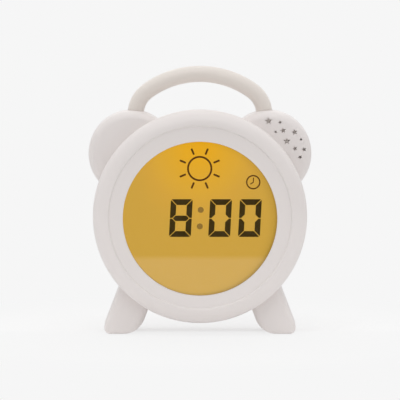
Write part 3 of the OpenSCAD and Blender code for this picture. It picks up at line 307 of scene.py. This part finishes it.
LED = surface("led_resin", (0.85, 0.62, 0.18), (0.95, 0.75, 0.30), rough=(0.15, 0.25), scale=900)
RIBBON = surface("ribbon_grey", (0.34, 0.34, 0.37), (0.46, 0.46, 0.49), rough=(0.35, 0.5),
                 scale=500, stretch=(4, 0.2, 0.2))
CELL = cell_material()
LENS = lens_material()
GLOW = glow_material()
BOARD = board_material()
CLOTH = cloth_material()
WIRE = surface("wire_red", (0.42, 0.03, 0.025), (0.52, 0.05, 0.04), rough=(0.4, 0.55), scale=300)
INK = ink("lcd_ink", (0.036, 0.022, 0.003), (0.048, 0.030, 0.005))
INK_THIN = ink("lcd_ink_thin", (0.085, 0.030, 0.004), (0.105, 0.038, 0.006))
INK_PALE = ink("lcd_ink_pale", (0.27, 0.155, 0.030), (0.30, 0.175, 0.036))
PRINT = surface("grey_print", (0.20, 0.195, 0.19), (0.25, 0.245, 0.24), rough=(0.5, 0.6), scale=200)

FINISH_OF = {
    "front_shell": SHELL, "rear_shell": SHELL, "battery_door": SHELL, "carry_handle": HANDLE,
    "rubber_feet": RUBBER, "case_screws": STEEL, "display_lens": LENS, "lens_gasket": FOAM,
    "lcd_panel": GLOW, "light_guide": GLOW, "reflector_sheet": WHITE_SHEET,
    "display_carrier": INNER, "carrier_screws": STEEL, "backlight_board": BOARD,
    "backlight_leds": LED, "zebra_strip": FOAM, "main_board": BOARD, "main_board_screws": STEEL,
    "controller_chip": BLACK, "filter_capacitors": BLACK, "clock_crystal": STEEL,
    "wire_headers": INNER, "key_board": BOARD, "key_board_screws": STEEL, "tact_switches": BLACK,
    "alarm_switch_body": STEEL, "alarm_switch_knob": BLACK, "usb_socket": STEEL, "usb_tongue": BLACK,
    "speaker_frame": BLACK, "speaker_cone": CONE, "speaker_magnet": STEEL, "grille_cloth": CLOTH,
    "speaker_wires": WIRE, "battery_wires": WIRE, "ribbon_cable": RIBBON, "door_screw": STEEL,
    "aa_cells": CELL, "contact_plates": STEEL, "contact_springs": STEEL,
    "button_light": KEY_AMBER,
}


def finish_of(name):
    """A node's material: its own, or that of all plungers or of all other keys."""
    if name.startswith("plunger_"):
        return INNER
    if name.startswith("button_"):
        return FINISH_OF.get(name, KEYS)
    return FINISH_OF[name]


for name, obj in nodes.items():
    obj.data.materials.clear()
    obj.data.materials.append(finish_of(name))


# ---------------------------------------------------------------- flat outlines and signs

def soften(points, radius):
    """The same outline with every corner rounded."""
    out = []
    for i, point in enumerate(points):
        p = Vector(point)
        a = Vector(points[i - 1]) - p
        b = Vector(points[(i + 1) % len(points)]) - p
        half = a.angle(b) / 2
        cut = min(radius / math.tan(half), 0.4 * a.length, 0.4 * b.length)
        r = cut * math.tan(half)
        middle = p + (a.normalized() + b.normalized()).normalized() * (r / math.sin(half))
        start = p + a.normalized() * cut - middle
        end = p + b.normalized() * cut - middle
        for k in range(5):
            out.append(middle + start.lerp(end, k / 4).normalized() * start.length)
    return out


def stroke(a, b, width):
    """Outline of a straight line with rounded ends."""
    a, b = Vector(a), Vector(b)
    along = (b - a).normalized()
    across = Vector((-along.y, along.x)) * width / 2
    return soften([a - across, b - across, b + across, a + across], width / 2.2)


def disc(c, r, sides=40):
    """Outline of a round spot."""
    return [Vector(c) + r * towards(360 * i / sides) for i in range(sides)]


# The display's signs are drawn in dots as the camera sees them, to the right and up from a point
# PANEL_Y above the table, midway between the sides. Sizes here are in mm.
DOT = 0.6342
PANEL_Y = 86.76
DISPLAY_DEPTHS = (24.16, 24.30)  # just in front of the LCD's glass
PRINT_DEPTHS = (-29.77, -29.86)  # from just inside the back's surface to just proud of it


def on_display(p, z):
    """Dots on the display."""
    return place(p[0] * DOT, PANEL_Y + p[1] * DOT / math.cos(ELEVATION), z)


def on_back(p, z):
    """Millimetres to the right and above the table as seen from behind."""
    return place(-p[0], p[1], z)


def sign(name, outlines, rings, finish, spot=on_display, depths=DISPLAY_DEPTHS):
    """A piece made of flat outlines and of rings (middle, outer radius, width)."""
    bm = bmesh.new()
    inside, outside = depths

    def corner(p, z):
        return bm.verts.new(spot(p, z))

    def wall(front, back):
        for i in range(len(front)):
            j = (i + 1) % len(front)
            bm.faces.new((front[i], back[i], back[j], front[j]))

    for outline in outlines:
        front = [corner(p, outside) for p in outline]
        back = [corner(p, inside) for p in outline]
        bm.faces.new(front)
        bm.faces.new(list(reversed(back)))
        wall(front, back)
    for c, r, width in rings:
        outer, inner = disc(c, r, 96), disc(c, r - width, 96)
        loops = [[corner(p, z) for p in loop] for loop in (outer, inner) for z in (outside, inside)]
        for a, b in ((0, 1), (3, 2), (2, 0), (1, 3)):
            wall(loops[a], loops[b])
    bmesh.ops.recalc_face_normals(bm, faces=bm.faces)
    mesh = bpy.data.meshes.new(name)
    bm.to_mesh(mesh)
    bm.free()
    obj = bpy.data.objects.new(name, mesh)
    scene.collection.objects.link(obj)
    mesh.materials.append(finish)
    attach(obj, "root")
    return obj


# ---------------------------------------------------------------- signs of the display, in dots

# Seven-segment digit: width, height, height of its middle, the bars and the gap between them, and
# how far it leans to the right for each dot of height.
DIGIT_W, DIGIT_H, MIDDLE = 21.9, 37.7, 18.6
BAR_H, BAR_MID, BAR_V, GAP = 5.8, 5.4, 5.7, 0.7
SLANT = 2.0 / DIGIT_H
SEGMENT_CORNER = 0.45


def digit(left, bottom, lit):
    """Outlines of the lit segments: a at the top, on clockwise to f, and g in the middle."""
    # what the gap takes off each corner, how far in the middle bar's tips lie, and the inner end of
    # an upright beside such a tip: how far in its end is flat, and how far its slanted edge rises
    cut = GAP / math.sqrt(2)
    tip = 0.5 * BAR_V
    near = tip + GAP / 2 - GAP * math.sqrt(2)
    rise = BAR_V - tip + GAP * math.sqrt(2)
    top_left = [(0, DIGIT_H - cut), (0, MIDDLE + GAP / 2), (near, MIDDLE + GAP / 2),
                (BAR_V, MIDDLE + rise), (BAR_V, DIGIT_H - BAR_V - cut)]
    low_left = [(0, cut), (BAR_V, BAR_V + cut), (BAR_V, MIDDLE - rise), (near, MIDDLE - GAP / 2),
                (0, MIDDLE - GAP / 2)]
    half = BAR_MID / 2
    shapes = {
        "a": [(cut, DIGIT_H), (cut + BAR_H, DIGIT_H - BAR_H),
              (DIGIT_W - cut - BAR_H, DIGIT_H - BAR_H), (DIGIT_W - cut, DIGIT_H)],
        "d": [(cut, 0), (DIGIT_W - cut, 0), (DIGIT_W - cut - BAR_H, BAR_H), (cut + BAR_H, BAR_H)],
        "g": [(tip, MIDDLE), (tip + half, MIDDLE - half), (DIGIT_W - tip - half, MIDDLE - half),
              (DIGIT_W - tip, MIDDLE), (DIGIT_W - tip - half, MIDDLE + half),
              (tip + half, MIDDLE + half)],
        "f": top_left,
        "e": low_left,
        "b": [(DIGIT_W - x, y) for x, y in reversed(top_left)],
        "c": [(DIGIT_W - x, y) for x, y in reversed(low_left)],
    }
    return [[(left + x + SLANT * y, bottom + y) for x, y in soften(shapes[k], SEGMENT_CORNER)]
            for k in lit]


EIGHT, ZERO = "abcdefg", "abcdef"
HOUR_LEFT, TENS_LEFT, UNITS_LEFT = -31.1, 8.2, 37.95
DIGITS_BOTTOM = -36.9
sign("lcd_hour", digit(HOUR_LEFT, DIGITS_BOTTOM, EIGHT), [], INK)
sign("lcd_minutes_tens", digit(TENS_LEFT, DIGITS_BOTTOM, ZERO), [], INK)
sign("lcd_minutes_units", digit(UNITS_LEFT, DIGITS_BOTTOM, ZERO), [], INK)

COLON_AT = ((0.7, -9.9), (-0.2, -26.4))
COLON_R = 3.0
sign("lcd_colon", [disc(at, COLON_R) for at in COLON_AT], [], INK_PALE)

CLOCK_AT = Vector((53.2, 17.8))
CLOCK_R, CLOCK_LINE = 7.2, 1.35
long_hand = stroke(CLOCK_AT + Vector((0.1, -0.3)), CLOCK_AT + Vector((0.3, 4.7)), 0.95)
short_hand = stroke(CLOCK_AT + Vector((0.3, 0)), CLOCK_AT + Vector((-3.0, -2.0)), 1.05)
sign("lcd_clock_sign", [long_hand, short_hand], [(CLOCK_AT, CLOCK_R, CLOCK_LINE)], INK_THIN)

SUN_AT = Vector((-0.3, 31.4))
SUN_R, SUN_LINE = 12.6, 1.85
RAY_COUNT = 8
RAY_FROM, RAY_TO, RAY_LINE = 14.9, 21.6, 1.95
rays = []
for k in range(RAY_COUNT):
    way = towards(360 * (k + 0.5) / RAY_COUNT)
    rays.append(stroke(SUN_AT + way * RAY_FROM, SUN_AT + way * RAY_TO, RAY_LINE))
sign("lcd_sun_sign", rays, [(SUN_AT, SUN_R, SUN_LINE)], INK_THIN)

# ---------------------------------------------------------------- signs printed on the back
# Plain signs above the keys: clock face, bell, minus, plus, notes and lamp, and OFF and ON above
# the slide switch. Each row has its height above the table, in mm.

LOWER_SIGNS, UPPER_SIGNS, WORDS = 106.4, 118.7, 117.2


def print_sign(name, at, lines=(), shapes=(), rings=(), width=0.34, size=1.2):
    """A printed sign: lines, filled shapes and rings given about its own middle."""
    at = Vector(at)

    def put_at(p):
        return at + Vector(p) * size

    outlines = [stroke(put_at(a), put_at(b), width * size) for a, b in lines]
    outlines += [[put_at(p) for p in shape] for shape in shapes]
    around = [(put_at(c), r * size, w * size) for c, r, w in rings]
    return sign(name, outlines, around, PRINT, on_back, PRINT_DEPTHS)


def letter(lines, x):
    """A letter's lines, moved to the right."""
    return [(Vector(a) + Vector((x, 0)), Vector(b) + Vector((x, 0))) for a, b in lines]


print_sign("print_time", (24, LOWER_SIGNS), [((0, 0), (0, 0.95)), ((0, 0), (0.7, -0.3))],
           rings=[((0, 0), 1.5, 0.34)], width=0.3)

bell = [(-1.5, -0.95), (1.5, -0.95), (1.5, -0.65), (1.05, -0.15), (0.95, 0.6), (0.5, 1.15),
        (-0.5, 1.15), (-0.95, 0.6), (-1.05, -0.15), (-1.5, -0.65)]
print_sign("print_alarm", (8, LOWER_SIGNS),
           shapes=[soften(bell, 0.2), disc((0, -1.3), 0.36, 16), disc((0, 1.25), 0.26, 16)])

level_bar = ((-0.95, 0), (0.95, 0))
upright_bar = ((0, -0.95), (0, 0.95))
print_sign("print_down", (-8, LOWER_SIGNS), [level_bar], width=0.4)
print_sign("print_up", (-24, LOWER_SIGNS), [level_bar, upright_bar], width=0.4)

glints = [(towards(45 * k) * 1.2, towards(45 * k) * 1.75) for k in range(8)]
print_sign("print_light", (20, UPPER_SIGNS), glints, rings=[((0, 0), 0.9, 0.32)], width=0.32)

stems = [((-0.55, -1.0), (-0.55, 1.1)), ((1.25, -0.7), (1.25, 1.4))]
beam = [(-0.7, 0.8), (1.4, 1.1), (1.4, 1.65), (-0.7, 1.35)]
print_sign("print_melody", (-20, UPPER_SIGNS), stems,
           shapes=[disc((-0.95, -1.05), 0.52, 20), disc((0.85, -0.75), 0.52, 20), beam], width=0.3)

letter_f = [((-0.5, -0.85), (-0.5, 0.85)), ((-0.5, 0.85), (0.5, 0.85)), ((-0.5, 0.05), (0.35, 0.05))]
letter_n = [((-0.6, -0.85), (-0.6, 0.85)), ((-0.6, 0.85), (0.6, -0.85)), ((0.6, -0.85), (0.6, 0.85))]
print_sign("print_off", (5.2, WORDS), letter(letter_f, 0.15) + letter(letter_f, 1.75),
           rings=[((-1.6, 0), 1.0, 0.3)], width=0.3, size=1.1)
print_sign("print_on", (-5.2, WORDS), letter(letter_n, 1.2),
           rings=[((-1.0, 0), 1.0, 0.3)], width=0.3, size=1.1)

# ---------------------------------------------------------------- table

PAPER = 0.922  # what the camera sees all round, table and backdrop
BOUNCE = 0.20  # light that the table adds from below
SHADE_LIFT = 0.535  # keeps the shadow that the camera sees pale
FLOOR_FRONT, FLOOR_BACK, FLOOR_SIDE = -0.564, 6, 2.5
MIRROR_FADE = 0.037  # how far behind its front edge the mirrored table has its full tone


def table_material():
    """Pale matt table. The camera sees it near white, and near the clock with its soft shadow."""
    material, tree = new_tree("table_white")
    at = position(tree)
    at_y = add(tree, "SeparateXYZ", {0: at}).outputs["Y"]

    def matt(level):
        shade = level if isinstance(level, bpy.types.NodeSocket) else (level, level, level, 1)
        return add(tree, "BsdfDiffuse", {"Color": shade}).outputs[0]

    def lifted(shader, level):
        glow = add(tree, "Emission", {"Strength": level}).outputs[0]
        return add(tree, "AddShader", {0: shader, 1: glow}).outputs[0]

    lit = lifted(matt(0.84), BOUNCE)
    shadowed = lifted(matt(0.40), SHADE_LIFT)
    even = add(tree, "Emission", {"Color": (PAPER, PAPER, PAPER, 1), "Strength": 1.0}).outputs[0]
    # the shadow ends some way round the clock, and weakens in front of its feet
    far = span(tree, vectors(tree, "LENGTH", at), 0.10, 0.22, kind="SMOOTHSTEP")
    front = span(tree, at_y, 0.014, -0.006, 0.0, 0.7, "SMOOTHSTEP")
    seen = either(tree, calculate(tree, "MAXIMUM", far, front), shadowed, even)
    # the window mirrors the table up to its front edge, which is out of focus
    mirrored = matt(span(tree, at_y, FLOOR_FRONT, FLOOR_FRONT + MIRROR_FADE, 0.0, 0.62))
    path = add(tree, "LightPath")
    unseen = either(tree, path.outputs["Is Glossy Ray"], lit, mirrored)
    shown = either(tree, path.outputs["Is Camera Ray"], unseen, seen)
    add(tree, "OutputMaterial", {0: shown})
    return material


table_mesh = bpy.data.meshes.new("table")
table_mesh.from_pydata([(-FLOOR_SIDE, FLOOR_FRONT, 0), (FLOOR_SIDE, FLOOR_FRONT, 0),
                        (FLOOR_SIDE, FLOOR_BACK, 0), (-FLOOR_SIDE, FLOOR_BACK, 0)], [], [(0, 1, 2, 3)])
table = bpy.data.objects.new("table", table_mesh)
scene.collection.objects.link(table)
table_mesh.materials.append(table_material())

# ---------------------------------------------------------------- light
# The studio: light from all round, stronger from the white backdrop behind the clock, and nothing
# below the table's edge. Each level stands at a height from 0, straight down, by 0.5, the horizon,
# to 1, straight up.

SKY = 0.79
BEHIND = 1.9
LIGHT_LEVELS = [(0.0, 0.10), (0.495, 0.10), (0.505, 0.58), (0.62, 0.62), (0.78, 0.74), (1.0, 0.84)]
MIRROR_LEVELS = [(0.0, 0.0), (0.497, 0.0), (0.503, 0.50), (0.62, 0.62), (0.78, 0.95), (1.0, 1.15)]


def studio():
    """The world: one light for plain surfaces, one for gloss, and plain paper for the camera."""
    world = bpy.data.worlds.new("studio")
    world.use_nodes = True
    tree = world.node_tree
    tree.nodes.clear()
    way = add(tree, "SeparateXYZ", {0: add(tree, "TexCoord").outputs["Generated"]})
    height = span(tree, way.outputs["Z"], -1.0, 1.0)
    lighting, mirrored = [ramp(tree, height, [(at, (level,) * 3) for at, level in levels])
                          for levels in (LIGHT_LEVELS, MIRROR_LEVELS)]
    path = add(tree, "LightPath")
    level = blend(tree, path.outputs["Is Glossy Ray"], lighting, mirrored)
    level = scaled(tree, level, span(tree, way.outputs["Y"], -0.35, 0.9, 1.0, BEHIND))
    light = add(tree, "Background", {"Color": level, "Strength": SKY}).outputs[0]
    shown = add(tree, "Background", {"Color": (PAPER, PAPER, PAPER, 1)}).outputs[0]
    add(tree, "OutputWorld", {0: either(tree, path.outputs["Is Camera Ray"], light, shown)})
    return world


def lamp(name, at, aim, size, power):
    """A soft rectangular lamp, in metres and watts."""
    data = bpy.data.lights.new(name, "AREA")
    data.shape = "RECTANGLE"
    data.size, data.size_y = size
    data.energy = power
    obj = bpy.data.objects.new(name, data)
    scene.collection.objects.link(obj)
    obj.location = at
    obj.rotation_euler = (Vector(aim) - Vector(at)).to_track_quat("-Z", "Y").to_euler()
    return obj


scene.world = studio()
lamp("top_light", at=(0.0, -0.10, 1.4), aim=(0, 0, 0.1), size=(1.4, 1.0), power=2.5)
lamp("key_light", at=(-0.10, -1.2, 1.6), aim=(0, 0, 0.09), size=(1.8, 1.2), power=9)

scene.view_settings.view_transform = "Standard"
